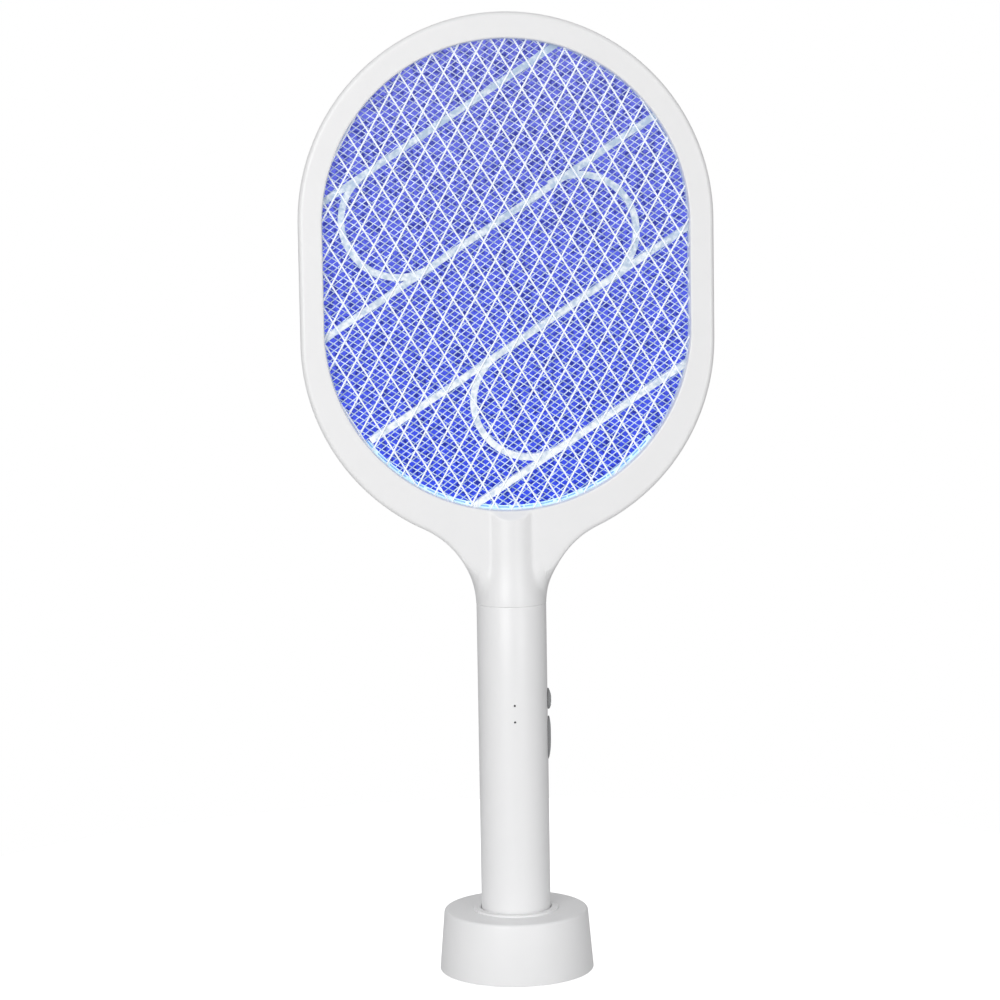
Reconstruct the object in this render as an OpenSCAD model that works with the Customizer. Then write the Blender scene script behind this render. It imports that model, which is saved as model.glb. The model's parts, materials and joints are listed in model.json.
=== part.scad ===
// Rechargeable electric fly swatter standing in its round charging base.
// Millimetres, +Z up, origin at the middle of the underside of the feet.
// The front of the racket faces -Y and its two side controls face +X.

/* [Head] */
// Width of the racket head
head_w = 213.2; // [205:0.2:225]
// Thickness of the head, front face to rear face
head_t = 24; // [23:0.5:26]
// Height of the centre of the head's lower arc
head_low_z = 332.6; // [328:0.2:336]
// Straight stretch between the head's two arcs
head_straight = 60.9; // [50:0.1:70]
// Radius of the two arcs of the opening
aperture_r = 94.3; // [92:0.1:95]
// Height of the centre of the opening's lower arc
aperture_low_z = 339; // [338:0.1:340]
// Height of the centre of the opening's upper arc
aperture_high_z = 392.4; // [391:0.1:393]
// Radius of the concave sides of the neck
neck_fillet_r = 47; // [44:0.1:48]
// Wall thickness of the frame halves
frame_wall = 2; // [1.6:0.1:2.4]

/* [Grids] */
// Width of a wire of the outer grids
outer_wire = 1; // [0.8:0.1:1.4]
// Distance between neighbouring wires of the outer grids
outer_pitch = 9.75; // [9:0.05:12]
// Slope of the outer grids' wires from level, in degrees
outer_slope = 59.6; // [50:0.1:65]
// Width of a wire of the live middle grid
live_wire = 0.6; // [0.4:0.1:0.8]
// Distance between neighbouring wires of the live grid
live_pitch = 2.9; // [2.8:0.1:5]
// Slope of the live grid's wires from level, in degrees
live_slope = 34.8; // [30:0.2:40]
// Width of the insulating ribs
rib_w = 3.4; // [3:0.1:4]
// Distance between neighbouring straight ribs
rib_pitch = 58.2; // [56:0.1:60]
// Slope of the ribs from level, in degrees
rib_slope = 33; // [32:0.1:36]

/* [Handle] */
// Radius of the handle at the seam under the neck
handle_top_r = 18.15; // [18.05:0.05:18.25]
// Radius of the handle at its lower end
handle_end_r = 18.2; // [18.1:0.05:18.25]
// Height of the seam between handle and neck
seam_z = 195.2; // [194:0.1:196.5]
// Inside radius of the handle tube
handle_bore_r = 15.9; // [15.9:0.05:16.1]

/* [Controls] */
// Height of the middle of the mode knob
mode_z = 144; // [143.5:0.1:145]
// Length of the mode knob
mode_len = 11.1; // [10.6:0.1:11.4]
// Travel of the mode knob each way from its middle stop
mode_travel = 1.8; // [1.4:0.1:1.8]
// Height of the middle of the zap button
fire_z = 123.3; // [122.5:0.1:123.6]
// Length of the zap button
fire_len = 22.8; // [22:0.1:23]
// Travel of the zap button
fire_travel = 0.8; // [0.5:0.1:0.8]

/* [Base] */
// Radius of the base at the bottom
base_bottom_r = 40.6; // [39.5:0.1:44]
// Radius of the base at the top, before its edge is rounded
base_top_r = 37.9; // [37.5:0.1:39]
// Height of the base without its collar
base_h = 32.4; // [32:0.1:34]
// Inside radius of the socket
socket_r = 18.7; // [18.6:0.05:18.9]
// Height of the collar above the top of the base
collar_h = 1; // [0.2:0.1:1.2]

/* [Hidden] */
$fn = 96;
hull_fn = 32;
eps = 0.01;

// Head
head_r = head_w / 2;
head_high_z = head_low_z + head_straight;
face_y = head_t / 2;
neck_centre_x = handle_top_r + neck_fillet_r + 0.05;
neck_centre_z = head_low_z - sqrt(pow(head_r + neck_fillet_r, 2) - pow(neck_centre_x, 2));
neck_joint_z = head_low_z - head_r * (head_low_z - neck_centre_z) / (head_r + neck_fillet_r);
neck_top_z = neck_joint_z - 1;
neck_flat_z = seam_z + 19.4;
neck_flat_x = 24;
ridge_r = 15.9;
ridge_taper_h = 20;
ridge_end_gap = 0.6;
rim_wall = 2;
aperture_bottom_z = aperture_low_z - aperture_r;

// The stack of grids and spacers, as half thicknesses from the middle plane
stack_r = aperture_r + 3;
stack_gap = 0.2;
live_half = 0.5;
spacer_half = 4.5;
outer_half = 5.5;
grid_border = 2;
grid_tilt = 1.35;
outer_node = [0.3, 364.7];
live_tilt = 3.3;
live_layer_gap = 0.05;

// Ribs: middles of the round turns, and a point on each straight run
turn_r = rib_pitch / 2;
turn_left = [-55.4, 395];
turn_right = turn_left + [93.7, -7];
turn_low = turn_left + [66.4, -94.1];
rib_reach = 300;

// Screws that hold the frame halves together
boss_r = 2.6;
boss_ring_r = head_r - 5.2;
boss_depth = 8;
boss_face_gap = 0.5;
screw_shank_r = 0.95;
screw_hole_r = 1.0;
screw_clear_r = 1.25;
screw_head_r = 2.0;
screw_head_h = 1.4;
screw_recess_r = 2.3;
screw_recess = 1.8;
cross_slot = [2.4, 0.5, 1.2];
head_screw_len = 16;
upper_boss_angles = [20, 70, 110, 160];
lower_boss_angles = [-22, 202];
neck_boss = [26, 229.5];

// Lamp
led_board_in = stack_r + 0.9;
led_board_out = led_board_in + 5;
led_board_half = 0.8;
led_span = 40;
led_count = 7;
led_step = 12;
led_size = [3.4, 1.8, 3];
live_lead_x = -9;
live_lead_z = aperture_low_z - sqrt(pow(stack_r, 2) - pow(live_lead_x, 2));
lead_notch_w = 3;
lead_notch_deep = 3.6;
grid_lead_r = 0.45;

// Handle
handle_z = 13.1;
cap_flange_h = 2;
tube_z = handle_z + cap_flange_h;
spigot_r = handle_bore_r - 0.3;
spigot_wall = 1.8;
spigot_floor = 2.5;
spigot_z = seam_z - 21.6;
neck_screw_z = seam_z - 10.6;
neck_screw_y = 16.8;
neck_screw_len = 3.6;
neck_screw_head_h = 1;
handle_w = 2 * handle_top_r;
cap_plug_r = handle_bore_r - 0.5;
cap_plug_top = 21;
cap_plug_wall = 1.6;
key_w = 3;
key_gap = 0.4;
key_in_r = 16.95;
key_groove_r = 16.5;
key_top_z = 25;
charge_x = 6;
charge_contact_r = 2.4;
charge_contact_t = 1;
charge_contact_z = handle_z + 0.15;
charge_contact_deep = 1.2;
charge_post_r = 0.8;
charge_post_len = 4;
cap_screw_y = 9.5;
cap_screw_z = handle_z + 1.6;
cap_screw_len = 9;

// Inside the handle: the chassis, the cell and the circuit board
chassis_r = handle_bore_r - 0.4;
chassis_wall = 1.5;
chassis_z = 22.5;
chassis_top = 163;
chassis_floor_y = -4;
chassis_wall_z = [38, 58, 78, 92];
bulkhead_z = 92;
board_y = 2;
board_t = 1.6;
board_z = 95;
board_top = 162;
board_half_w = 14.4;
notch_x = 11.6;
notch_y = 6.2;
notch_low = 104;
notch_high = 152;
cell_r = 9.2;
cell_len = 65.2;
cell_cap_r = 3;
cell_cap_h = 1;
cell_y = 3.4;
cell_z = 24.8;
tab_t = 0.3;
tab_w = 8;
tab_reach = 10.2;
core_at = [-3, 106];
core_size = [5, 11.2, 12];
core_window = [7.2, 2];
core_window_z = 3;
capacitor_size = [17, 6, 7];
capacitor_z = 124;
diode_z = 138.6;
resistor_z = 149.5;

// Controls
fire_w = 8;
fire_face_r = handle_top_r + 1.55;
fire_dome_r = 60;
fire_dome_up = 2;
fire_gap = 0.3;
mode_w = 7;
mode_face_r = handle_top_r + 1.95;
mode_inner_r = handle_top_r + 0.25;
mode_dome_r = 12.7;
mode_slot_w = 4;
mode_slot_len = 2 * mode_travel + 3.2;
stem_x = 12.2;
stem_w = 3.2;
stem_len = 2.6;
groove_deep = 0.5;
groove_w = 0.7;
groove_pitch = 2.2;
switch_x = 7.5;
switch_deep = 3.8;
switch_wall = 1.3;
slider_t = 1.2;
slider_w = 2.8;
slider_len = 3.2;
lever_w = 1.8;
lever_len = 1.5;
lever_reach = 5.5;
plunger_r = 1.5;
plunger_x = 9.3;
button_foot_x = 12.9;
button_flange_x = 13.6;
pinhole_r = 0.6;
pinhole_z = [135, 143.7];
pipe_flange_r = 1.4;
pipe_recess = 0.15;
lead_r = 0.6;

// Base
foot_h = 1;
shell_z = 0.4;
base_wall = 2.2;
base_edge_r = 1.8;
plate_z = 1;
plate_t = 2;
plate_recess = 1.2;
post_x = 12;
post_y = 8;
foot_ring_r = 29;
foot_r = 6;
collar_r = 22.6;
collar_top_z = base_h + collar_h;
cup_wall = 1.5;
cup_floor_z = 11;
cup_floor_t = 2;
base_screw_ring_r = 29;
base_screw_len = 10;
base_screw_post_r = 3;
base_board_z = 4.2;
base_board_t = 1.6;
base_board_r = 17;
base_tab_w = 14;
usb_w = 7.5;
usb_h = 2.6;
usb_len = 5.7;
usb_y = base_r(base_board_z + base_board_t + usb_h / 2) - usb_len - 0.5;
base_tab_y = usb_y + 3.1;
usb_gap = 0.6;
barrel_r = 1.6;
barrel_top = 12;
pin_r = 0.85;
pin_top_z = 13.15;
pin_flange_r = 1.1;
pin_flange_z = 9.4;

white = "#f2f2f2";
grey = "#8c8c8c";
steel = "#b8bcc0";
board_green = "#1f6b45";

// ---- Shared shapes ----

// Extrudes an outline drawn in X and Z between two depths.
module slab(y0, y1) {
    translate([0, y1, 0]) rotate([90, 0, 0]) linear_extrude(y1 - y0) children();
}

// Extrudes an outline drawn in Y and Z between two values of X.
module side_slab(x0, x1) {
    translate([x0, 0, 0]) rotate([90, 0, 90]) linear_extrude(x1 - x0) children();
}

// Two equal circles joined by their tangents, one above the other.
module stadium(r, low, high) {
    translate([0, low]) circle(r);
    translate([0, high]) circle(r);
    translate([-r, low]) square([2 * r, high - low]);
}

// A cylinder that lies along Y, from depth y0 to y1.
module rod_y(r, x, z, y0, y1) {
    translate([x, y1, z]) rotate([90, 0, 0]) cylinder(r = r, h = y1 - y0);
}

// A cylinder that lies along X, from x0 to x1.
module rod_x(r, y, z, x0, x1) {
    translate([x0, y, z]) rotate([0, 90, 0]) cylinder(r = r, h = x1 - x0);
}

module box(x0, x1, y0, y1, z0, z1) {
    translate([x0, y0, z0]) cube([x1 - x0, y1 - y0, z1 - z0]);
}

function unit(v) = v / norm(v);

// A smooth curve through points p, with n steps a span.
function curve_point(a, b, c, d, t) =
    0.5 * (2 * b + (c - a) * t + (2 * a - 5 * b + 4 * c - d) * t * t
        + (3 * b - a - 3 * c + d) * t * t * t);
function curve(p, n) = [
    for (i = [0 : len(p) - 2]) for (k = [0 : n - 1])
        curve_point(p[max(i - 1, 0)], p[i], p[i + 1], p[min(i + 2, len(p) - 1)], k / n),
    p[len(p) - 1]
];

// A round wire of radius r along the points p. The vector across is never along the wire.
module wire(p, r, across, sides = 8) {
    last = len(p) - 1;
    rings = [for (i = [0 : last])
        let (t = unit(p[min(i + 1, last)] - p[max(i - 1, 0)]), u = unit(cross(t, across)), v = cross(t, u))
        for (k = [0 : sides - 1]) p[i] + r * (cos(360 * k / sides) * u + sin(360 * k / sides) * v)];
    walls = [for (i = [0 : last - 1]) for (k = [0 : sides - 1])
        let (a = i * sides + k, b = i * sides + (k + 1) % sides)
        each [[a, a + sides, b + sides], [a, b + sides, b]]];
    first_end = [for (k = [0 : sides - 1]) k];
    last_end = [for (k = [sides - 1 : -1 : 0]) last * sides + k];
    polyhedron(rings, concat([first_end, last_end], walls));
}

module lead(points, r = lead_r) {
    wire(curve(points, 4), r, [0, 1, 0]);
}

// ---- Head ----

module head_outline(inset) {
    stadium(head_r - inset, head_low_z, head_high_z);
}

module neck_outline(inset) {
    difference() {
        translate([-neck_centre_x, seam_z])
            square([2 * neck_centre_x, neck_top_z - seam_z]);
        for (side = [-1, 1])
            translate([side * neck_centre_x, neck_centre_z]) circle(neck_fillet_r + inset);
    }
}

// The flat of the neck, which rounds off to the handle's section at the seam.
module neck_flat(inset) {
    hull() {
        translate([0, 0, seam_z])
            cylinder(r = handle_top_r - 0.6 - inset, h = eps, $fn = hull_fn);
        translate([-neck_flat_x, inset - face_y, neck_flat_z])
            cube([2 * neck_flat_x, head_t - 2 * inset, 0.1]);
    }
    box(-neck_centre_x, neck_centre_x, inset - face_y, face_y - inset, neck_flat_z, neck_top_z);
}

// The handle's round form, which runs on up the middle of the neck and slopes off under the opening.
module ridge(inset) {
    slope_h = ridge_r + 1 - face_y;
    slope_r = aperture_r + ridge_end_gap + inset;
    difference() {
        union() {
            translate([0, 0, seam_z])
                cylinder(r1 = handle_top_r - inset, r2 = ridge_r - inset, h = ridge_taper_h);
            translate([0, 0, seam_z + ridge_taper_h])
                cylinder(r = ridge_r - inset, h = aperture_bottom_z + 4 - seam_z - ridge_taper_h);
        }
        slab(-head_t, head_t)
            stadium(aperture_r + (inset > 0 ? rim_wall : 0), aperture_low_z, aperture_high_z);
        for (side = [-1, 1])
            translate([0, 0, aperture_low_z]) rotate([90 * side, 0, 0]) translate([0, 0, face_y - inset])
                cylinder(r1 = slope_r, r2 = slope_r + slope_h + inset, h = slope_h + inset);
    }
}

module head_body(inset) {
    difference() {
        slab(inset - face_y, face_y - inset) head_outline(inset);
        if (inset > 0)
            slab(-head_t, head_t) stadium(aperture_r + rim_wall, aperture_low_z, aperture_high_z);
    }
    intersection() {
        slab(inset - face_y, face_y - inset) neck_outline(inset);
        neck_flat(inset);
    }
    ridge(inset);
}

// Places a child at every screw of the head, with Z as the screw's height.
module at_head_screws() {
    for (a = upper_boss_angles)
        translate([boss_ring_r * cos(a), 0, head_high_z + boss_ring_r * sin(a)]) children();
    for (a = lower_boss_angles)
        translate([boss_ring_r * cos(a), 0, head_low_z + boss_ring_r * sin(a)]) children();
    for (side = [-1, 1]) translate([side * neck_boss[0], 0, neck_boss[1]]) children();
}

// The tube that reaches down into the handle, with a floor ring that joins it to the neck.
module neck_spigot() {
    difference() {
        union() {
            translate([0, 0, spigot_z]) cylinder(r = spigot_r, h = seam_z + spigot_floor - spigot_z);
            translate([0, 0, seam_z]) cylinder(r = handle_top_r - 1, h = spigot_floor);
        }
        translate([0, 0, spigot_z - 1])
            cylinder(r = spigot_r - spigot_wall, h = seam_z + spigot_floor + 2 - spigot_z);
    }
}

// One half of the head's shell: side is -1 for the front and 1 for the rear.
module frame_half(side) {
    y0 = side < 0 ? -2 * head_t : 0;
    difference() {
        intersection() {
            union() {
                difference() {
                    head_body(0);
                    head_body(frame_wall);
                }
                neck_spigot();
                at_head_screws() rod_y(boss_r, 0, 0, boss_face_gap - face_y, face_y - boss_face_gap);
            }
            box(-head_w, head_w, y0, y0 + 2 * head_t, 0, 2 * head_high_z);
        }
        slab(-head_t, head_t) stadium(aperture_r, aperture_low_z, aperture_high_z);
        slab(-outer_half - stack_gap / 4, outer_half + stack_gap / 4)
            stadium(stack_r + stack_gap, aperture_low_z, aperture_high_z);
        if (side < 0) {
            at_head_screws() rod_y(screw_hole_r, 0, 0, -boss_depth, 1);
        } else {
            at_head_screws() {
                rod_y(screw_clear_r, 0, 0, -1, head_t);
                rod_y(screw_recess_r, 0, 0, face_y - screw_recess, head_t);
            }
            rod_y(screw_hole_r, 0, neck_screw_z, 0, head_t);
        }
    }
}

module front_frame() {
    color(white) frame_half(-1);
}

module rear_frame() {
    color(white) frame_half(1);
}

module straight_rib(point) {
    translate(point) rotate(rib_slope)
        translate([-rib_reach / 2, -rib_w / 2]) square([rib_reach, rib_w]);
}

// Half a ring, bulging left for side -1 and right for side 1.
module rib_turn(point, side) {
    translate(point) rotate(rib_slope) intersection() {
        difference() {
            circle(turn_r + rib_w / 2);
            circle(turn_r - rib_w / 2);
        }
        translate([side < 0 ? -2 * turn_r : 0, -2 * turn_r]) square([2 * turn_r, 4 * turn_r]);
    }
}

function rib_offset(side) = side * turn_r * [-sin(rib_slope), cos(rib_slope)];

module ribs() {
    straight_rib(turn_left + rib_offset(1));
    straight_rib(turn_left + rib_offset(-1));
    straight_rib(turn_right + rib_offset(-1));
    straight_rib(turn_low + rib_offset(-1));
    rib_turn(turn_left, -1);
    rib_turn(turn_right, 1);
    rib_turn(turn_low, -1);
}

// The insulating frame that keeps an outer grid away from the live one.
module spacer(y0, y1) {
    slab(y0, y1) {
        difference() {
            stadium(stack_r, aperture_low_z, aperture_high_z);
            stadium(aperture_r, aperture_low_z, aperture_high_z);
        }
        intersection() {
            stadium(aperture_r + 1, aperture_low_z, aperture_high_z);
            ribs();
        }
    }
}

module front_spacer() {
    color("#e4ecf4") spacer(-spacer_half, -live_half);
}

module rear_spacer() {
    color("#e4ecf4") spacer(live_half, spacer_half);
}

module outer_wires(slope) {
    count = ceil(2 * aperture_r / outer_pitch) + 8;
    translate(outer_node) rotate(slope)
        for (i = [-count : count])
            translate([-rib_reach, i * outer_pitch - outer_wire / 2])
                square([2 * rib_reach, outer_wire]);
}

module outer_grid(y0, y1) {
    slab(y0, y1) {
        difference() {
            stadium(stack_r, aperture_low_z, aperture_high_z);
            stadium(stack_r - grid_border, aperture_low_z, aperture_high_z);
        }
        intersection() {
            stadium(stack_r - grid_border / 2, aperture_low_z, aperture_high_z);
            union() {
                outer_wires(grid_tilt + outer_slope);
                outer_wires(grid_tilt - outer_slope);
            }
        }
    }
}

module front_grid() {
    color(white) outer_grid(-outer_half, -spacer_half);
}

module rear_grid() {
    color(white) outer_grid(spacer_half, outer_half);
}

// Where a line at angle a, offset d from the opening's middle, crosses a circle whose centre
// is h above that middle: the two distances along the line, or an empty list.
function circle_crossing(a, d, h, r) =
    let (along = h * sin(a), off = h * cos(a) - d, reach = r * r - off * off)
    reach > 0 ? [along - sqrt(reach), along + sqrt(reach)] : [];

// The same for the straight sides between the circles.
function side_crossing(a, d, half, r) = [
    for (side = [-1, 1])
        let (along = (side * r + d * sin(a)) / cos(a), z = along * sin(a) + d * cos(a))
        if (abs(z) <= half) along
];

function live_ends(a, d) =
    let (half = (aperture_high_z - aperture_low_z) / 2, r = stack_r - 0.5,
        all = concat(circle_crossing(a, d, half, r), circle_crossing(a, d, -half, r),
            side_crossing(a, d, half, r)))
    len(all) > 1 ? [min(all), max(all)] : [];

// Parallel wires of the live grid, each its own solid, in one of its two layers.
module live_layer(slope, y0, y1) {
    mid = (aperture_low_z + aperture_high_z) / 2;
    count = floor((stack_r + (aperture_high_z - aperture_low_z) / 2) / live_pitch);
    for (i = [-count : count]) {
        ends = live_ends(slope, i * live_pitch);
        if (len(ends) == 2 && ends[1] - ends[0] > live_pitch)
            translate([0, y1, mid]) rotate([90, 0, 0]) rotate([0, 0, slope])
                translate([ends[0], i * live_pitch - live_wire / 2, 0])
                    cube([ends[1] - ends[0], live_wire, y1 - y0]);
    }
}

module live_grid() {
    color("#c9d3e6") {
        live_layer(live_tilt + live_slope, live_layer_gap - live_half, -live_layer_gap);
        live_layer(live_tilt - live_slope, live_layer_gap, live_half - live_layer_gap);
    }
}

// A sector of a ring round the opening's lower centre, span degrees each side of straight down.
module lower_arc(r0, r1, span) {
    translate([0, aperture_low_z]) intersection() {
        difference() {
            circle(r1);
            circle(r0);
        }
        polygon([[0, 0], 2 * r1 * [-sin(span), -cos(span)], [0, -4 * r1], 2 * r1 * [sin(span), -cos(span)]]);
    }
}

module lamp_board() {
    color("#f4f4f4") difference() {
        slab(-led_board_half, led_board_half) lower_arc(led_board_in, led_board_out, led_span);
        box(live_lead_x - lead_notch_w / 2, live_lead_x + lead_notch_w / 2, -2, 2,
            live_lead_z - lead_notch_deep, live_lead_z);
    }
}

module lamp_leds() {
    color("#d8dcff")
        for (i = [0 : led_count - 1]) {
            a = (i - (led_count - 1) / 2) * led_step;
            translate([0, 0, aperture_low_z]) rotate([0, -a, 0])
                translate([-led_size[0] / 2, -led_board_half - led_size[1], -led_board_in - led_size[2]])
                    cube(led_size);
        }
}

// A screw pushed in along -Y, with the underside of its head at depth y.
module screw_y(y, length, head_h) {
    difference() {
        union() {
            rod_y(screw_head_r, 0, 0, y, y + head_h);
            rod_y(screw_shank_r, 0, 0, y - length, y);
        }
        for (a = [0, 90]) translate([0, y + head_h, 0]) rotate([90, 0, 0]) rotate(a)
            cube(cross_slot, center = true);
    }
}

module head_screws() {
    color(steel) at_head_screws() screw_y(face_y - screw_recess, head_screw_len, screw_head_h);
}

// The live lead passes behind the lamp's board and through its notch to the live grid.
module grid_leads() {
    grid_z = aperture_low_z - stack_r;
    color("#b03030") {
        lead([[-9, 1.2, 158], [-9, -3, 170], [live_lead_x, 0.6, 192], [live_lead_x, 1.6, 215],
            [live_lead_x, 1.6, live_lead_z - lead_notch_deep - 0.8],
            [live_lead_x, 0, live_lead_z - 0.9], [live_lead_x, 0, live_lead_z + 0.25]], grid_lead_r);
        lead([[-5, 1.2, 158], [-4, -5, 172], [-3, -5, 200], [-3, -5, 220], [-3, -5, grid_z - 0.1]],
            grid_lead_r);
        lead([[-5, 4.4, 158], [-4, 6, 172], [-3, 5, 200], [-3, 5, 220], [-3, 5, grid_z - 0.1]],
            grid_lead_r);
    }
}

module lamp_leads() {
    color("#d8d8d8") for (x = [5, 9])
        lead([[x, 1.2, 158], [x, -3, 170], [x, -1, 195], [x, 0, 215],
            [x, 0, aperture_low_z - led_board_out - 0.1]]);
}

// ---- Handle ----

module key_groove() {
    difference() {
        box(-key_w / 2 - key_gap, key_w / 2 + key_gap, 0, 2 * handle_top_r,
            handle_z - 1, key_top_z + key_gap);
        translate([0, 0, handle_z - 2]) cylinder(r = key_groove_r, h = key_top_z);
    }
}

module capsule(width, length, grow) {
    stadium(width / 2 + grow, (width - length) / 2, (length - width) / 2);
}

// The tapered outside of the handle between two heights.
module handle_taper(z0, z1) {
    slope = (handle_top_r - handle_end_r) / (seam_z - handle_z);
    translate([0, 0, z0])
        cylinder(r1 = handle_end_r + slope * (z0 - handle_z), r2 = handle_end_r + slope * (z1 - handle_z),
            h = z1 - z0);
}

module handle_tube() {
    color(white) difference() {
        handle_taper(tube_z, seam_z);
        translate([0, 0, tube_z - 1]) cylinder(r = handle_bore_r, h = seam_z);
        key_groove();
        translate([0, 0, fire_z]) side_slab(switch_x, handle_w) capsule(fire_w, fire_len, fire_gap);
        translate([0, 0, mode_z])
            side_slab(switch_x, handle_w) square([mode_slot_w, mode_slot_len], center = true);
        for (z = pinhole_z) rod_y(pinhole_r, 0, z, -handle_w, 0);
        rod_y(screw_clear_r, 0, neck_screw_z, 0, handle_w);
        rod_y(screw_recess_r, 0, neck_screw_z, neck_screw_y, handle_w);
    }
}

module neck_screw() {
    color(steel) translate([0, 0, neck_screw_z]) screw_y(neck_screw_y, neck_screw_len, neck_screw_head_h);
}

// The sled inside the handle that carries the cell and the circuit board.
module inner_chassis() {
    inner_r = chassis_r - chassis_wall;
    color("#3a3a3c") difference() {
        union() {
            difference() {
                translate([0, 0, chassis_z]) cylinder(r = chassis_r, h = chassis_top - chassis_z);
                translate([0, 0, chassis_z + chassis_wall]) cylinder(r = inner_r, h = chassis_top);
            }
            for (z = chassis_wall_z) translate([0, 0, z]) cylinder(r = inner_r + 1, h = chassis_wall);
        }
        box(-handle_w, handle_w, -handle_w, board_y + board_t, chassis_z + chassis_wall, seam_z);
        box(-handle_w, handle_w, -handle_w, chassis_floor_y, 0, seam_z);
        translate([0, cell_y, chassis_z + chassis_wall])
            cylinder(r = cell_r + 0.2, h = bulkhead_z - chassis_z - chassis_wall);
        box(notch_x, handle_w, 0, notch_y, notch_low, notch_high);
        translate([0, cap_screw_y, 0]) cylinder(r = screw_hole_r, h = cell_z);
    }
}

module end_cap() {
    color(white) difference() {
        union() {
            handle_taper(handle_z, tube_z);
            translate([0, 0, tube_z]) cylinder(r = cap_plug_r, h = cap_plug_top - tube_z);
        }
        translate([0, 0, tube_z + 1]) cylinder(r = cap_plug_r - cap_plug_wall, h = cap_plug_top);
        for (x = [-charge_x, charge_x]) translate([x, 0, 0]) {
            cylinder(r = charge_contact_r + 0.05, h = handle_z + charge_contact_deep);
            cylinder(r = charge_post_r + 0.2, h = cap_plug_top);
        }
        translate([0, cap_screw_y, 0]) {
            cylinder(r = screw_clear_r, h = cap_plug_top);
            cylinder(r = screw_recess_r, h = cap_screw_z);
        }
        key_groove();
    }
}

// A screw that points up, with the underside of its head at the origin.
module screw_up(length, head_h) {
    difference() {
        union() {
            translate([0, 0, -head_h]) cylinder(r = screw_head_r, h = head_h);
            cylinder(r = screw_shank_r, h = length);
        }
        for (a = [0, 90]) translate([0, 0, -head_h]) rotate(a) cube(cross_slot, center = true);
    }
}

module cap_screws() {
    color(steel) translate([0, cap_screw_y, cap_screw_z]) screw_up(cap_screw_len, screw_head_h);
}

module charge_contacts() {
    color("#d0b060") for (x = [-charge_x, charge_x]) translate([x, 0, charge_contact_z]) {
        cylinder(r = charge_contact_r, h = charge_contact_t);
        cylinder(r = charge_post_r, h = charge_post_len);
    }
}

module charge_leads() {
    z0 = charge_contact_z + charge_post_len + 0.1;
    color("#303030") for (x = [-charge_x, charge_x])
        lead([[x, 0, z0], [x, 0, z0 + 0.6], [x, 0, z0 + 1.2], [x, -6, 22.2], [x, -8.5, 30],
            [x, -8.5, 60], [x, -7, 90], [x, 0.6, 98]]);
}

module battery_cell() {
    color("#3d7fc4") translate([0, cell_y, cell_z]) {
        cylinder(r = cell_r, h = cell_len - cell_cap_h);
        cylinder(r = cell_cap_r, h = cell_len);
    }
}

module battery_tabs() {
    color(steel) {
        box(-tab_w / 2, tab_w / 2, cell_y - 3, cell_y + 3, cell_z - tab_t, cell_z);
        box(-tab_w / 2, tab_w / 2, cell_y - 3, cell_y + 3, cell_z + cell_len, cell_z + cell_len + tab_t);
        box(-tab_reach, 0, cell_y - 3, cell_y - 1, cell_z - tab_t, cell_z);
    }
}

module battery_leads() {
    top = cell_z + cell_len + tab_t;
    color("#c02828") {
        lead([[-3, 1, top + lead_r + 0.02], [-7, -3, top + 1.2], [-10, -4, 94.5], [-11, 0.8, 99]]);
        lead([[-tab_reach - 0.2, 0, cell_z + 0.8], [-11.5, -4, 32], [-11.5, -5, 60],
            [-11.5, -5, 88], [-12.5, 0.8, 99]]);
    }
}

module main_board() {
    color(board_green) difference() {
        box(-board_half_w, board_half_w, board_y, board_y + board_t, board_z, board_top);
        box(notch_x, handle_w, 0, notch_y, notch_low, notch_high);
    }
}

// A block on the front of the circuit board: x and z are its middle, size is its width,
// its height off the board and its length.
module front_part(x, z, size) {
    box(x - size[0] / 2, x + size[0] / 2, board_y - size[1], board_y, z - size[2] / 2, z + size[2] / 2);
}

// A round part that stands along Z on the rear of the circuit board.
module rear_part(x, z, r, length) {
    translate([x, board_y + board_t + r, z - length / 2]) cylinder(r = r, h = length);
}

module transformer_core() {
    window_y = board_y - core_size[1] / 2;
    color("#2c2c2e") difference() {
        front_part(core_at[0], core_at[1], core_size);
        for (side = [-1, 1]) translate([core_at[0], window_y, core_at[1] + side * core_window_z])
            cube([2 * core_size[0], core_window[0], core_window[1]], center = true);
    }
}

// The winding round the middle leg of the core.
module transformer_winding() {
    color("#c87a3c") translate([core_at[0], board_y - core_size[1] / 2, core_at[1]]) difference() {
        cube([core_size[0] + 4, core_window[0] - 0.4, 2 * core_window_z + core_window[1] - 0.4],
            center = true);
        cube([core_size[0] + 0.4, core_window[0], 2 * core_window_z - core_window[1] + 0.4],
            center = true);
    }
}

module high_voltage_capacitor() {
    color("#b05a28") translate([-capacitor_size[0] / 2, board_y + board_t, capacitor_z])
        cube(capacitor_size);
}

module rectifier_diodes() {
    color("#202022") for (i = [0 : 3]) rear_part(4 * i - 6, diode_z, 1.35, 5.2);
}

module drive_transistor() {
    color("#26262a") front_part(-4.5, 152.5, [7, 4.4, 5]);
}

module bleed_resistors() {
    color("#c9b48c") for (i = [0 : 1]) rear_part(5 * i - 7, resistor_z, 1.2, 7);
}

module charge_chip() {
    color("#202022") front_part(-7, 119.5, [4, 1.6, 5]);
}

module indicator_leds() {
    color("#e8f4e8") for (z = pinhole_z) front_part(0, z, [1.6, 0.8, 1.6]);
}

// Clear rods that carry the indicators' light to the front of the handle.
module light_pipes() {
    color("#404448") for (z = pinhole_z) {
        rod_y(pinhole_r - 0.08, 0, z, pipe_recess - handle_top_r, board_y - 0.9);
        rod_y(pipe_flange_r, 0, z, 1 - handle_bore_r, 2.4 - handle_bore_r);
    }
}

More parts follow.
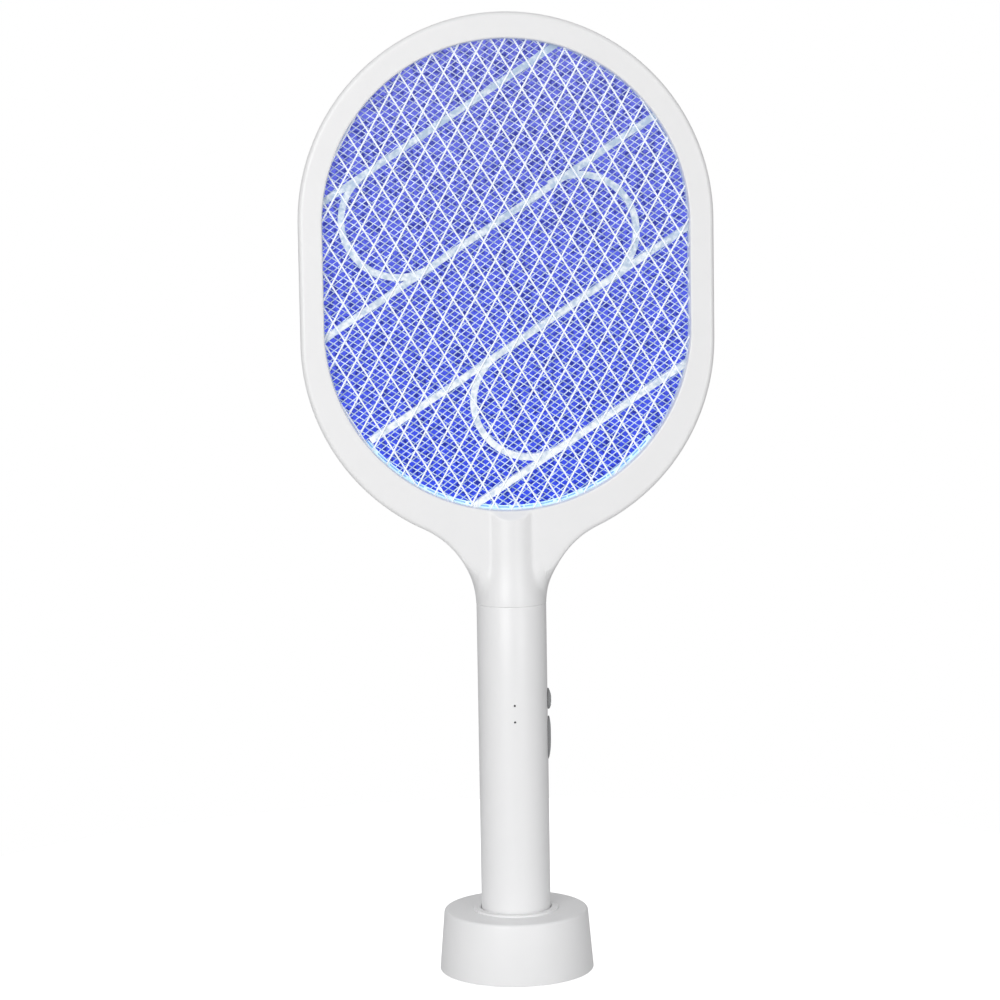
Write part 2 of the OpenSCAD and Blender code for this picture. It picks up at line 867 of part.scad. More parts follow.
module mode_switch_body() {
    color(steel) difference() {
        box(switch_x, switch_x + switch_deep, -board_y, board_y, mode_z - 5, mode_z + 5);
        translate([switch_x + switch_wall, 0, mode_z]) side_slab(0, slider_t + 0.6)
            square([slider_w + 0.4, slider_len + 2 * mode_travel + 0.6], center = true);
        translate([switch_x + switch_wall, 0, mode_z]) side_slab(0, switch_deep)
            square([lever_w + 0.2, lever_len + 2 * mode_travel + 0.5], center = true);
    }
}

module mode_switch_lever() {
    color("#1c1c1e") translate([switch_x + switch_wall + 0.2, 0, mode_z]) {
        side_slab(0, slider_t) square([slider_w, slider_len], center = true);
        side_slab(0, lever_reach) square([lever_w, lever_len], center = true);
    }
}

module mode_knob() {
    color(grey) difference() {
        union() {
            intersection() {
                translate([0, 0, mode_z]) side_slab(0, handle_w) capsule(mode_w, mode_len, 0);
                rod_y(mode_dome_r, mode_face_r - mode_dome_r, mode_z, -mode_w, mode_w);
                difference() {
                    cylinder(r = mode_face_r, h = seam_z);
                    cylinder(r = mode_inner_r, h = seam_z);
                }
            }
            translate([0, 0, mode_z]) side_slab(stem_x, mode_inner_r + 0.5)
                square([stem_w, stem_len], center = true);
        }
        translate([0, 0, mode_z]) side_slab(stem_x - 1, stem_x + 2.6)
            square([lever_w + 0.2, lever_len + 0.2], center = true);
        for (i = [-1 : 1])
            translate([mode_face_r - groove_deep, -mode_w, mode_z + groove_pitch * i - groove_w / 2])
                cube([groove_deep + 1, 2 * mode_w, groove_w]);
    }
}

module fire_switch_body() {
    color("#2a2a2c") difference() {
        box(switch_x, switch_x + 3.5, -board_y, board_y, fire_z - 3, fire_z + 3);
        rod_x(plunger_r + 0.1, 0, fire_z, plunger_x - fire_travel - 0.2, handle_bore_r);
    }
}

module fire_switch_plunger() {
    color("#c04038") rod_x(plunger_r, 0, fire_z, plunger_x, button_foot_x);
}

module fire_button() {
    color(grey) {
        intersection() {
            translate([0, 0, fire_z]) side_slab(button_flange_x, handle_w) capsule(fire_w, fire_len, 0);
            cylinder(r = fire_face_r, h = seam_z);
            rod_y(fire_dome_r, fire_face_r - fire_dome_r, fire_z + fire_dome_up, -fire_w, fire_w);
        }
        translate([0, 0, fire_z]) side_slab(button_flange_x, button_flange_x + 1)
            capsule(fire_w, fire_len, 1);
        rod_x(plunger_r, 0, fire_z, button_foot_x, button_flange_x + 0.5);
    }
}

// ---- Base ----

function base_r(z) = base_bottom_r + (base_top_r - base_bottom_r) * z / base_h;

module base_profile() {
    inner_top = base_h - base_wall;
    difference() {
        union() {
            polygon([
                [0, shell_z], [base_r(shell_z), shell_z],
                [base_r(base_h - base_edge_r), base_h - base_edge_r],
                [base_r(base_h - base_edge_r) - base_edge_r, base_h - base_edge_r],
                [base_r(base_h - base_edge_r) - base_edge_r, base_h], [0, base_h]
            ]);
            translate([base_r(base_h - base_edge_r) - base_edge_r, base_h - base_edge_r])
                circle(base_edge_r);
        }
        polygon([
            [-1, shell_z - 1], [base_r(shell_z - 1) - base_wall, shell_z - 1],
            [base_r(inner_top) - base_wall, inner_top], [-1, inner_top]
        ]);
        translate([-base_h, -base_h]) square([base_h, 3 * base_h]);
    }
}

module at_base_screws() {
    for (a = [45 : 90 : 315]) rotate(a) translate([base_screw_ring_r, 0, 0]) children();
}

module base_shell() {
    color(white) difference() {
        union() {
            rotate_extrude() base_profile();
            at_base_screws() translate([0, 0, plate_z + plate_t])
                cylinder(r = base_screw_post_r, h = base_h - base_wall / 2 - plate_z - plate_t);
        }
        cylinder(r = socket_r + cup_wall + 0.2, h = 2 * base_h);
        at_base_screws() cylinder(r = screw_hole_r, h = plate_z + plate_recess + base_screw_len + 2);
        slab(usb_y - 1, base_bottom_r + 1) translate([0, base_board_z + base_board_t + usb_h / 2])
            rotate(90) stadium(usb_h / 2 + usb_gap, usb_h / 2 - usb_w / 2, usb_w / 2 - usb_h / 2);
    }
}

module socket_cup() {
    color(white) difference() {
        union() {
            translate([0, 0, cup_floor_z]) cylinder(r = socket_r + cup_wall, h = collar_top_z - cup_floor_z);
            translate([0, 0, base_h]) cylinder(r = collar_r, h = collar_top_z - base_h);
        }
        difference() {
            translate([0, 0, cup_floor_z + cup_floor_t]) cylinder(r = socket_r, h = base_h);
            difference() {
                box(-key_w / 2, key_w / 2, 0, socket_r + 1, cup_floor_z, key_top_z);
                cylinder(r = key_in_r, h = base_h);
            }
        }
        for (x = [-charge_x, charge_x]) translate([x, 0, 0]) cylinder(r = barrel_r + 0.1, h = 20);
    }
}

module base_plate() {
    color("#d9d9d9") difference() {
        union() {
            translate([0, 0, plate_z]) cylinder(r = base_r(plate_z + plate_t) - base_wall - 0.2, h = plate_t);
            for (x = [-post_x, post_x]) for (y = [-post_y, post_y]) translate([x, y, plate_z])
                cylinder(r = 2, h = base_board_z - plate_z);
        }
        at_base_screws() {
            cylinder(r = screw_clear_r, h = 20);
            cylinder(r = screw_recess_r, h = plate_z + plate_recess);
        }
    }
}

module rubber_feet() {
    color("#55585c") for (a = [0 : 90 : 270]) rotate(a) translate([foot_ring_r, 0, 0])
        cylinder(r = foot_r, h = foot_h);
}

module base_screws() {
    color(steel) at_base_screws() translate([0, 0, plate_z + plate_recess]) screw_up(base_screw_len, 1);
}

module base_board() {
    color(board_green) translate([0, 0, base_board_z]) {
        cylinder(r = base_board_r, h = base_board_t);
        translate([-base_tab_w / 2, 0, 0]) cube([base_tab_w, base_tab_y, base_board_t]);
    }
}

module usb_socket() {
    z0 = base_board_z + base_board_t;
    color(steel) difference() {
        box(-usb_w / 2, usb_w / 2, usb_y, usb_y + usb_len, z0, z0 + usb_h);
        box(-usb_w / 2 + 0.4, usb_w / 2 - 0.4, usb_y + 0.6, usb_y + usb_len + 1, z0 + 0.4, z0 + usb_h - 0.4);
    }
}

module usb_tongue() {
    z0 = base_board_z + base_board_t;
    color("#202022") box(-2, 2, usb_y + 0.6, usb_y + usb_len - 0.6, z0 + 1, z0 + 1.6);
}

module contact_barrels() {
    z0 = base_board_z + base_board_t;
    color("#d0b060") for (x = [-charge_x, charge_x]) translate([x, 0, 0]) difference() {
        translate([0, 0, z0]) cylinder(r = barrel_r, h = barrel_top - z0);
        translate([0, 0, z0 + 0.4]) cylinder(r = pin_flange_r + 0.08, h = barrel_top - 0.6 - z0 - 0.4);
        translate([0, 0, z0 + 1]) cylinder(r = pin_r + 0.08, h = 20);
    }
}

module contact_pins() {
    color("#e0c070") for (x = [-charge_x, charge_x]) translate([x, 0, 0]) {
        translate([0, 0, pin_flange_z]) cylinder(r = pin_flange_r, h = 0.6);
        translate([0, 0, pin_flange_z + 0.5]) cylinder(r = pin_r, h = pin_top_z - pin_flange_z - 0.5);
    }
}

module pin_springs() {
    turns = 5;
    steps = 10;
    wire_r = 0.13;
    coil_r = 0.85;
    z0 = base_board_z + base_board_t + 0.4 + wire_r + 0.05;
    rise = pin_flange_z - wire_r - 0.05 - z0;
    path = [for (i = [0 : turns * steps])
        [coil_r * cos(360 * i / steps), coil_r * sin(360 * i / steps), z0 + rise * i / (turns * steps)]];
    color(steel) for (x = [-charge_x, charge_x]) translate([x, 0, 0]) wire(path, wire_r, [0, 0, 1], 6);
}

front_frame();
rear_frame();
front_spacer();
rear_spacer();
front_grid();
live_grid();
rear_grid();
lamp_board();
lamp_leds();
head_screws();
grid_leads();
lamp_leads();
handle_tube();
neck_screw();
inner_chassis();
end_cap();
cap_screws();
charge_contacts();
charge_leads();
battery_cell();
battery_tabs();
battery_leads();
main_board();
transformer_core();
transformer_winding();
high_voltage_capacitor();
rectifier_diodes();
drive_transistor();
bleed_resistors();
charge_chip();
indicator_leds();
light_pipes();
mode_switch_body();
fire_switch_body();
mode_knob();
mode_switch_lever();
fire_button();
fire_switch_plunger();
base_shell();
socket_cup();
base_plate();
rubber_feet();
base_screws();
base_board();
usb_socket();
usb_tongue();
contact_barrels();
contact_pins();
pin_springs();
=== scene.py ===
"""Looks of a rechargeable electric fly swatter that stands in its charging base.

Lengths are millimetres until a mesh is made, then metres. Z is up and -Y is the front.
"""

import json
import math

import bmesh
import bpy
import numpy as np
from mathutils import Matrix, Vector


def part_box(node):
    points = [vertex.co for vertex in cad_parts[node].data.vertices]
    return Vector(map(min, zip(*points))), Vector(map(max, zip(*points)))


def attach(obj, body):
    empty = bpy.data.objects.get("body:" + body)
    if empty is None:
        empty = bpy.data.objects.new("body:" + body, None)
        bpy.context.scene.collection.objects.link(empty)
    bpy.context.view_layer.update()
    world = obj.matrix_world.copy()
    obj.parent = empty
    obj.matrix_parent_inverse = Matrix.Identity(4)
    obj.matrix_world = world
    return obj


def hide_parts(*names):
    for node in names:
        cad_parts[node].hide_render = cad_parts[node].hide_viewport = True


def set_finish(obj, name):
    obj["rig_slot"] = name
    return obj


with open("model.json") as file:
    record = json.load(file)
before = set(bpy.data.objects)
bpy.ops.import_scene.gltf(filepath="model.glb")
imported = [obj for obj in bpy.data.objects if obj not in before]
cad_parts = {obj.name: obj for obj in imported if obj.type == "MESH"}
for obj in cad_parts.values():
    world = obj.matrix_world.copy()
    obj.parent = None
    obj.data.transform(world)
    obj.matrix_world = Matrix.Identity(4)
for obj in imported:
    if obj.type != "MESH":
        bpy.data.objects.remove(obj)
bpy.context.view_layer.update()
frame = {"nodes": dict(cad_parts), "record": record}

MM = 0.001
NODES = frame["nodes"]


def box_mm(node):
    """Lowest and highest corners of a CAD node, in millimetres."""
    low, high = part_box(node)
    return np.array(low) / MM, np.array(high) / MM


# ---- Sizes ----

FRAME_HIGH = box_mm("front_frame")[1]
GRID_LOW, GRID_HIGH = box_mm("front_grid")
TUBE_LOW, TUBE_HIGH = box_mm("handle_tube")
SHELL_LOW, SHELL_HIGH = box_mm("base_shell")
CUP_LOW, CUP_HIGH = box_mm("socket_cup")
FIRE_LOW, FIRE_HIGH = box_mm("fire_button")
MODE_LOW, MODE_HIGH = box_mm("mode_knob")
CAP_HIGH = box_mm("end_cap")[1]

HEAD_R = FRAME_HIGH[0]
HEAD_STRAIGHT = 60.9
HEAD_HIGH_Z = FRAME_HIGH[2] - HEAD_R
HEAD_LOW_Z = HEAD_HIGH_Z - HEAD_STRAIGHT
FACE = 12.0
FRAME_WALL = 2.0
STACK_R = GRID_HIGH[0]
STACK_LIP = 3.0
APERTURE_R = STACK_R - STACK_LIP
APERTURE_LOW_Z = GRID_LOW[2] + STACK_R
APERTURE_HIGH_Z = GRID_HIGH[2] - STACK_R
STACK_HALF = 5.6

HANDLE_R = TUBE_HIGH[0]
HANDLE_LOW_R = CAP_HIGH[0]
HANDLE_BORE_R = 15.9
SEAM_Z = TUBE_HIGH[2]
TUBE_Z = TUBE_LOW[2]

NECK_FILLET_R = 47.0
NECK_X = HANDLE_R + NECK_FILLET_R + 0.05
NECK_Z = HEAD_LOW_Z - math.sqrt((HEAD_R + NECK_FILLET_R) ** 2 - NECK_X**2)
JOINT_ANGLE = math.atan2(NECK_X, HEAD_LOW_Z - NECK_Z)
RIDGE_R = 15.9
RIDGE_END_GAP = 0.6

# ---- Meshes ----


def piece(name, points, faces, body, slot, replaces=()):
    """A mesh piece from points in millimetres, its faces turned outwards; given a body, it rides on it with
    its slot, and the CAD nodes it replaces are hidden.
    """
    mesh = bpy.data.meshes.new(name)
    mesh.from_pydata((np.asarray(points, float) * MM).tolist(), [], faces)
    obj = bpy.data.objects.new(name, mesh)
    bpy.context.scene.collection.objects.link(obj)
    face_outwards(mesh)
    if body:
        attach(obj, body)
        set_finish(obj, slot)
    if replaces:
        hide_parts(*replaces)
    return obj


def face_outwards(mesh):
    """Turns every face's normal to the outside."""
    work = bmesh.new()
    work.from_mesh(mesh)
    bmesh.ops.recalc_face_normals(work, faces=work.faces)
    work.to_mesh(mesh)
    work.free()


def smooth(obj, angle=32):
    """Smooth shading with sharp edges kept above the angle, in degrees."""
    mesh = obj.data
    mesh.polygons.foreach_set("use_smooth", [True] * len(mesh.polygons))
    mesh.set_sharp_from_angle(angle=math.radians(angle))
    return obj


def lathe(profile, steps=160):
    """Points and faces of a profile of (radius, height) turned round Z.

    The profile is a closed loop, or starts and ends on the axis.
    """
    on_axis = profile[0][0] == 0
    ring = profile[1:-1] if on_axis else profile
    turn = np.linspace(0, 2 * math.pi, steps, endpoint=False)
    points = [(r * math.cos(t), r * math.sin(t), z) for r, z in ring for t in turn]
    count = len(ring)
    faces = []
    for i in range(count - 1 if on_axis else count):
        a, b = i * steps, (i + 1) % count * steps
        faces += [(a + k, a + (k + 1) % steps, b + (k + 1) % steps, b + k) for k in range(steps)]
    if on_axis:
        first, last = len(points), len(points) + 1
        points += [(0, 0, profile[0][1]), (0, 0, profile[-1][1])]
        end = (count - 1) * steps
        faces += [(first, (k + 1) % steps, k) for k in range(steps)]
        faces += [(last, end + k, end + (k + 1) % steps) for k in range(steps)]
    return points, faces


def corner(r, z, radius, start, end, steps=6):
    """Points of a rounded corner of a profile, round its centre (r, z), between two angles."""
    return [
        (r + radius * math.cos(math.radians(a)), z + radius * math.sin(math.radians(a)))
        for a in np.linspace(start, end, steps)
    ]


def prism(outline, low, high, axis):
    """An outline of pairs extruded along an axis: the pairs are the two other coordinates."""
    order = {"x": (2, 0, 1), "y": (0, 2, 1), "z": (0, 1, 2)}[axis]
    points = []
    for level in (low, high):
        for a, b in outline:
            flat = (a, b, level)
            points.append([flat[i] for i in order])
    n = len(outline)
    faces = [tuple(range(n)), tuple(range(2 * n - 1, n - 1, -1))]
    faces += [(k, k + n, (k + 1) % n + n, (k + 1) % n) for k in range(n)]
    return points, faces


def stadium(r, low, high, steps=24):
    """Outline of two equal half circles, the second above the first, joined by straight sides."""
    below = [(r * math.cos(a), low + r * math.sin(a)) for a in np.linspace(math.pi, 2 * math.pi, steps)]
    above = [(r * math.cos(a), high + r * math.sin(a)) for a in np.linspace(0, math.pi, steps)]
    return below + above


def rectangle(low, high):
    """Outline of a rectangle from its lowest to its highest corner."""
    return [low, (high[0], low[1]), high, (low[0], high[1])]


def circle(r, a=0.0, b=0.0, steps=32):
    """Outline of a circle round (a, b)."""
    turn = np.linspace(0, 2 * math.pi, steps, endpoint=False)
    return [(a + r * math.cos(t), b + r * math.sin(t)) for t in turn]


def cut(obj, solids):
    """Takes each solid, given as points and faces, out of a piece."""
    cutters = []
    for points, faces in solids:
        cutter = piece(obj.name + "_cutter", points, faces, None, None)
        change = obj.modifiers.new("cut", "BOOLEAN")
        change.operation = "DIFFERENCE"
        change.solver = "EXACT"
        change.object = cutter
        cutters.append(cutter)
    bpy.context.view_layer.update()
    shape = obj.evaluated_get(bpy.context.evaluated_depsgraph_get())
    old = obj.data
    obj.modifiers.clear()
    obj.data = bpy.data.meshes.new_from_object(shape)
    obj.data.name = obj.name
    bpy.data.meshes.remove(old)
    for cutter in cutters:
        bpy.data.objects.remove(cutter)
    return obj


def tube(path, radius, sides, phase=0.0):
    """Points and faces of a closed round wire along a path of points."""
    path = np.asarray(path, float)
    along = np.gradient(path, axis=0)
    along /= np.linalg.norm(along, axis=1)[:, None]
    side = np.cross(along, (0, 1, 0))
    side /= np.linalg.norm(side, axis=1)[:, None]
    up = np.cross(side, along)
    turn = np.linspace(0, 2 * math.pi, sides, endpoint=False) + phase
    rings = (
        path[:, None]
        + radius * np.cos(turn)[None, :, None] * side[:, None]
        + radius * np.sin(turn)[None, :, None] * up[:, None]
    )
    count = len(path)
    faces = []
    for i in range(count - 1):
        a, b = i * sides, (i + 1) * sides
        faces += [(a + k, a + (k + 1) % sides, b + (k + 1) % sides, b + k) for k in range(sides)]
    faces.append(tuple(range(sides)))
    faces.append(tuple(range(count * sides - 1, (count - 1) * sides - 1, -1)))
    return rings.reshape(-1, 3), faces


def joined(parts):
    """Several (points, faces) as one."""
    points, faces, start = [], [], 0
    for some_points, some_faces in parts:
        points.append(np.asarray(some_points, float))
        faces += [tuple(i + start for i in face) for face in some_faces]
        start += len(some_points)
    return np.vstack(points), faces


def ease(low, high, value):
    """0 below low, 1 above high, and a smooth step between."""
    t = np.clip((value - low) / (high - low), 0, 1)
    return t * t * (3 - 2 * t)


# ---- Head shell ----

SEAM_FAN = math.radians(9)
EDGE_FAN = math.radians(23.4)
RIM_ROUND = 0.8
EDGE_ROUND = 2.5
SEAM_BEVEL = 0.3
EDGE_TURNS = (8, 20, 32, 44, 56, 67, 77, 84, 90)
RIM_ROWS_REACH = 5.5  # the rows of points are close together this far from the opening


def aperture_stations():
    """Right half of the opening from bottom to top: points, outward directions and angles."""
    fan = np.concatenate([
        np.linspace(0, SEAM_FAN, 14)[:-1],
        np.linspace(SEAM_FAN, EDGE_FAN, 30)[:-1],
        np.linspace(EDGE_FAN, math.pi / 2, 44),
    ])
    low = [((APERTURE_R * math.sin(a), APERTURE_LOW_Z - APERTURE_R * math.cos(a)),
            (math.sin(a), -math.cos(a)), a)
           for a in fan]
    side = [((APERTURE_R, z), (1.0, 0.0), None)
            for z in np.linspace(APERTURE_LOW_Z, APERTURE_HIGH_Z, 22)[1:-1]]
    high = [((APERTURE_R * math.sin(a), APERTURE_HIGH_Z - APERTURE_R * math.cos(a)),
             (math.sin(a), -math.cos(a)), None)
            for a in np.linspace(math.pi / 2, math.pi, 64)]
    return low + side + high


def reach_outline(start, direction, inset):
    """Where a ray from the opening meets the head's outline."""
    reach = HEAD_R - inset
    best = 0.0
    for centre in (HEAD_LOW_Z, HEAD_HIGH_Z):
        off = np.array(start) - (0, centre)
        along = off @ direction
        best_here = -along + math.sqrt(max(along**2 - off @ off + reach**2, 0))
        z = start[1] + best_here * direction[1]
        outside = z < HEAD_LOW_Z if centre == HEAD_LOW_Z else z > HEAD_HIGH_Z
        if outside:
            best = best_here
    if best == 0.0:
        best = (reach - start[0]) / direction[0]
    return np.array(start) + best * np.array(direction)


def outline_station(start, direction, angle, inset=0.0):
    """The outline's point that belongs to a point of the opening."""
    direction = np.array(direction)
    if angle is None or angle > EDGE_FAN:
        return reach_outline(start, direction, inset)
    if angle <= SEAM_FAN:
        turn = math.pi / 2 * angle / SEAM_FAN
        return np.array([(NECK_X - NECK_FILLET_R - inset) * math.sin(turn), SEAM_Z + inset])
    r = NECK_FILLET_R + inset
    seam_up = SEAM_Z + inset - NECK_Z
    low_turn = math.atan2(seam_up, -math.sqrt(r**2 - seam_up**2))
    high_turn = math.pi / 2 + JOINT_ANGLE
    share = (angle - SEAM_FAN) / (EDGE_FAN - SEAM_FAN)
    turn = low_turn + (high_turn - low_turn) * share
    return np.array([NECK_X + r * math.cos(turn), NECK_Z + r * math.sin(turn)])


def edge_distance(x, z):
    """Distance from a place on the shell to its silhouette."""
    x = abs(x)
    if z < HEAD_LOW_Z and math.atan2(x, HEAD_LOW_Z - z) < JOINT_ANGLE:
        return max(math.hypot(x - NECK_X, z - NECK_Z) - NECK_FILLET_R, 0.0)
    spine = min(max(z, HEAD_LOW_Z), HEAD_HIGH_Z)
    return max(HEAD_R - math.hypot(x, z - spine), 0.0)


def edge_round(z):
    """Radius of the shell's outer edge: wide at the round seam, small round the head."""
    return EDGE_ROUND + (FACE - EDGE_ROUND) * (1 - float(ease(SEAM_Z + 6, SEAM_Z + 24, z)))


def ridge_radius(z):
    """Radius of the neck's ridge: the handle's at the seam, and slimmer above it."""
    shrink = float(ease(SEAM_Z + 1, SEAM_Z + 22, z))
    bevel = SEAM_BEVEL * max(1 - (z - SEAM_Z) / SEAM_BEVEL, 0.0)
    return HANDLE_R + (RIDGE_R - HANDLE_R) * shrink - bevel


def shell_height(x, z):
    """How far the outside of the shell stands off the middle plane."""
    radius = edge_round(z)
    inside = max(radius - edge_distance(x, z), 0.0)
    plate = FACE - radius + math.sqrt(max(radius**2 - inside**2, 0.0))
    if z > APERTURE_LOW_Z:
        return plate
    ridge = math.sqrt(max(ridge_radius(z) ** 2 - x**2, 0.0))
    slope = plate + max(math.hypot(x, z - APERTURE_LOW_Z) - APERTURE_R - RIDGE_END_GAP, 0.0)
    ridge = min(ridge, slope)
    soft = 0.02 + 0.5 * float(ease(SEAM_Z + 2, SEAM_Z + 20, z))
    top, low = max(plate, ridge), min(plate, ridge)
    near = max(soft - (top - low), 0.0) / soft
    return top + near * near * soft / 4


def shell_column(station):
    """One closed section of the front half, from the opening's lip out, round and back inside."""
    start, direction = station[:2]
    rim = np.array(start)
    out = np.array(direction)
    edge = outline_station(*station)
    inner_edge = outline_station(*station, inset=FRAME_WALL)
    inner_rim = rim + FRAME_WALL * out
    span = np.linalg.norm(edge - rim)
    back = (rim - edge) / span
    radius = edge_round(edge[1])
    column = [(*rim, STACK_HALF)]
    for turn in np.radians([0, 30, 60, 90]):
        place = rim + out * RIM_ROUND * (1 - math.cos(turn))
        column.append((*place, shell_height(*place) - RIM_ROUND * (1 - math.sin(turn))))
    first = rim + out * RIM_ROUND
    edge_rows = [edge + back * radius * (1 - math.sin(turn)) for turn in np.radians(EDGE_TURNS)]
    face = edge_rows[0] - first
    near = min(RIM_ROWS_REACH / np.linalg.norm(face), 0.45)
    for share in [*np.linspace(0, near, 11)[1:], *np.linspace(near, 1, 9)[1:-1]]:
        place = first + face * share
        column.append((*place, shell_height(*place)))
    for place in edge_rows:
        column.append((*place, shell_height(*place)))
    wall = shell_height(*edge)
    column.append((*edge, wall * 0.5))
    column.append((*edge, min(0.3, wall)))
    column.append((*(edge + back * 0.25), 0.0))
    column.append((*inner_edge, 0.0))
    for share in np.linspace(0, 1, 7):
        place = inner_edge + (inner_rim - inner_edge) * share
        column.append((*place, max(shell_height(*place) - FRAME_WALL, STACK_HALF + 0.2)))
    column.append((*inner_rim, STACK_HALF))
    return column


def shell_half(side):
    """Points and faces of one half of the head's shell: side is -1 for the front, 1 for the rear."""
    right = [shell_column(station) for station in aperture_stations()]
    left = [[(-x, z, h) for x, z, h in column] for column in right[-2:0:-1]]
    columns = right + left
    rows = len(columns[0])
    points = [(x, side * h, z) for column in columns for x, z, h in column]
    faces = []
    for i in range(len(columns)):
        a, b = i * rows, (i + 1) % len(columns) * rows
        faces += [(a + k, a + (k + 1) % rows, b + (k + 1) % rows, b + k) for k in range(rows)]
    return points, faces


SCREW_RING_R = HEAD_R - 5.2
UPPER_SCREWS = [20, 70, 110, 160]
LOWER_SCREWS = [-22, 202]
NECK_SCREW = (26, 229.5)
SCREW_RECESS = 1.8
SCREW_RECESS_R = 2.3
RECESS_CUT = 6


def screw_places():
    """Where the frame's screws are, as (x, z)."""
    places = []
    for centre_z, angles in ((HEAD_HIGH_Z, UPPER_SCREWS), (HEAD_LOW_Z, LOWER_SCREWS)):
        for turn in map(math.radians, angles):
            places.append((math.cos(turn) * SCREW_RING_R, centre_z + math.sin(turn) * SCREW_RING_R))
    return places + [(side * NECK_SCREW[0], NECK_SCREW[1]) for side in (-1, 1)]


def make_head():
    """The two halves of the head's shell, the rear one with recesses for its screws."""
    front = smooth(piece("front_shell", *shell_half(-1), "racket", "white_shell", ["front_frame"]))
    rear = piece("rear_shell", *shell_half(1), "racket", "white_shell", ["rear_frame"])
    recesses = [prism(circle(SCREW_RECESS_R, x, z), FACE - SCREW_RECESS, FACE + RECESS_CUT, "y")
                for x, z in screw_places()]
    smooth(cut(rear, recesses))
    return front, rear


# ---- Grids ----

OUTER_PITCH = 9.75
OUTER_SLOPE = 59.6
OUTER_TILT = 1.35
OUTER_NODE = (0.3, 364.7)
OUTER_WIRE_R = 0.46
OUTER_Y = 5.0
OUTER_INSET = 1
OUTER_LAYER = 0.2  # half the step between the grid's two layers of wires
OUTER_SHORTEST = 2  # a shorter wire at the rim is left out
LIVE_PITCH = 2.9
LIVE_SLOPE = 34.8
LIVE_TILT = 3.3
LIVE_WIRE_R = 0.29
LIVE_INSET = 0.5
GLOW_Y = (0.75, 0.85)
GLOW_GAP = 0.1


def clipped(origin, angle, offset, r):
    """The stretch of a line inside the stadium of radius r: two places along it, or None."""
    c, s = math.cos(math.radians(angle)), math.sin(math.radians(angle))
    base = np.array([origin[0] - s * offset, origin[1] + c * offset])
    crossings = []
    for centre in (APERTURE_LOW_Z, APERTURE_HIGH_Z):
        off = base - (0, centre)
        along = off @ (c, s)
        inner = along**2 - off @ off + r * r
        if inner > 0:
            crossings += [-along - math.sqrt(inner), -along + math.sqrt(inner)]
    for side in (-r, r):
        along = (side - base[0]) / c
        if APERTURE_LOW_Z <= base[1] + along * s <= APERTURE_HIGH_Z:
            crossings.append(along)
    if len(crossings) < 2:
        return None
    return base, np.array([c, s]), min(crossings), max(crossings)


def outer_wires(side):
    """Welded diamonds of a guard grid with its border wire."""
    parts = []
    r = STACK_R - OUTER_INSET
    count = int(2 * STACK_R / OUTER_PITCH) + 8
    for slope, layer in ((OUTER_TILT + OUTER_SLOPE, OUTER_LAYER), (OUTER_TILT - OUTER_SLOPE, -OUTER_LAYER)):
        for i in range(-count, count + 1):
            found = clipped(OUTER_NODE, slope, i * OUTER_PITCH, r)
            if found is None or found[3] - found[2] < OUTER_SHORTEST:
                continue
            base, way, low, high = found
            y = side * (OUTER_Y + layer)
            ends = [base + way * t for t in (low, (low + high) / 2, high)]
            parts.append(tube([(x, y, z) for x, z in ends], OUTER_WIRE_R, 8))
    border = [(x, side * OUTER_Y, z) for x, z in stadium(r, APERTURE_LOW_Z, APERTURE_HIGH_Z, 60)]
    parts.append(tube(border + border[:1], OUTER_WIRE_R, 8))
    return joined(parts)


def live_wires():
    """The woven live grid: each wire goes over and under those of the other family."""
    parts = []
    middle = (0, (APERTURE_LOW_Z + APERTURE_HIGH_Z) / 2)
    r = STACK_R - LIVE_INSET
    count = int((STACK_R + (APERTURE_HIGH_Z - APERTURE_LOW_Z) / 2) / LIVE_PITCH)
    between = 2 * LIVE_SLOPE
    step = LIVE_PITCH / math.sin(math.radians(between))
    for family in (1, -1):
        for i in range(-count, count + 1):
            found = clipped(middle, LIVE_TILT + family * LIVE_SLOPE, i * LIVE_PITCH, r)
            if found is None or found[3] - found[2] < 2 * step:
                continue
            base, way, low, high = found
            first = -family * i * LIVE_PITCH / math.tan(math.radians(between))
            crossings = range(math.ceil((low - first) / step), math.floor((high - first) / step) + 1)
            path = []
            for k in crossings:
                x, z = base + way * (first + k * step)
                other = -family * k
                up = 1 if (i + other) % 2 == 0 else -1
                path.append((x, family * up * LIVE_WIRE_R, z))
            if len(path) > 2:
                parts.append(tube(path, LIVE_WIRE_R, 5))
    return joined(parts)


def make_grids():
    """The two guard grids and the live mesh between them."""
    front = smooth(piece("front_guard", *outer_wires(-1), "racket", "grid_white", ["front_grid"]), 60)
    rear = smooth(piece("rear_guard", *outer_wires(1), "racket", "grid_white", ["rear_grid"]), 60)
    live = smooth(piece("live_mesh", *live_wires(), "racket", "live_wire", ["live_grid"]), 80)
    return front, rear, live


def make_glow():
    """A thin sheet just behind the live grid that stands for the lamp's light in the meshes."""
    outline = stadium(APERTURE_R - GLOW_GAP, APERTURE_LOW_Z, APERTURE_HIGH_Z, 96)
    return piece("lamp_glow", *prism(outline, *GLOW_Y, "y"), "racket", "lamp_emitter")


STRIP_SPAN = 52
STRIP_BAND = (0.05, 2.0)
STRIP_DASH = (0.75, 1.5)
STRIP_DASHES = 22
STRIP_Y = -2.4


def lower_arc(inner, outer, start, end, y0, y1):
    """A ring sector under the opening's lower centre, between two angles from straight down, in degrees."""
    turns = np.radians(np.linspace(start, end, max(int(abs(end - start) / 2), 2) + 1))
    rim = [(outer * math.sin(a), APERTURE_LOW_Z - outer * math.cos(a)) for a in turns]
    rim += [(inner * math.sin(a), APERTURE_LOW_Z - inner * math.cos(a)) for a in turns[::-1]]
    return prism(rim, y0, y1, "y")


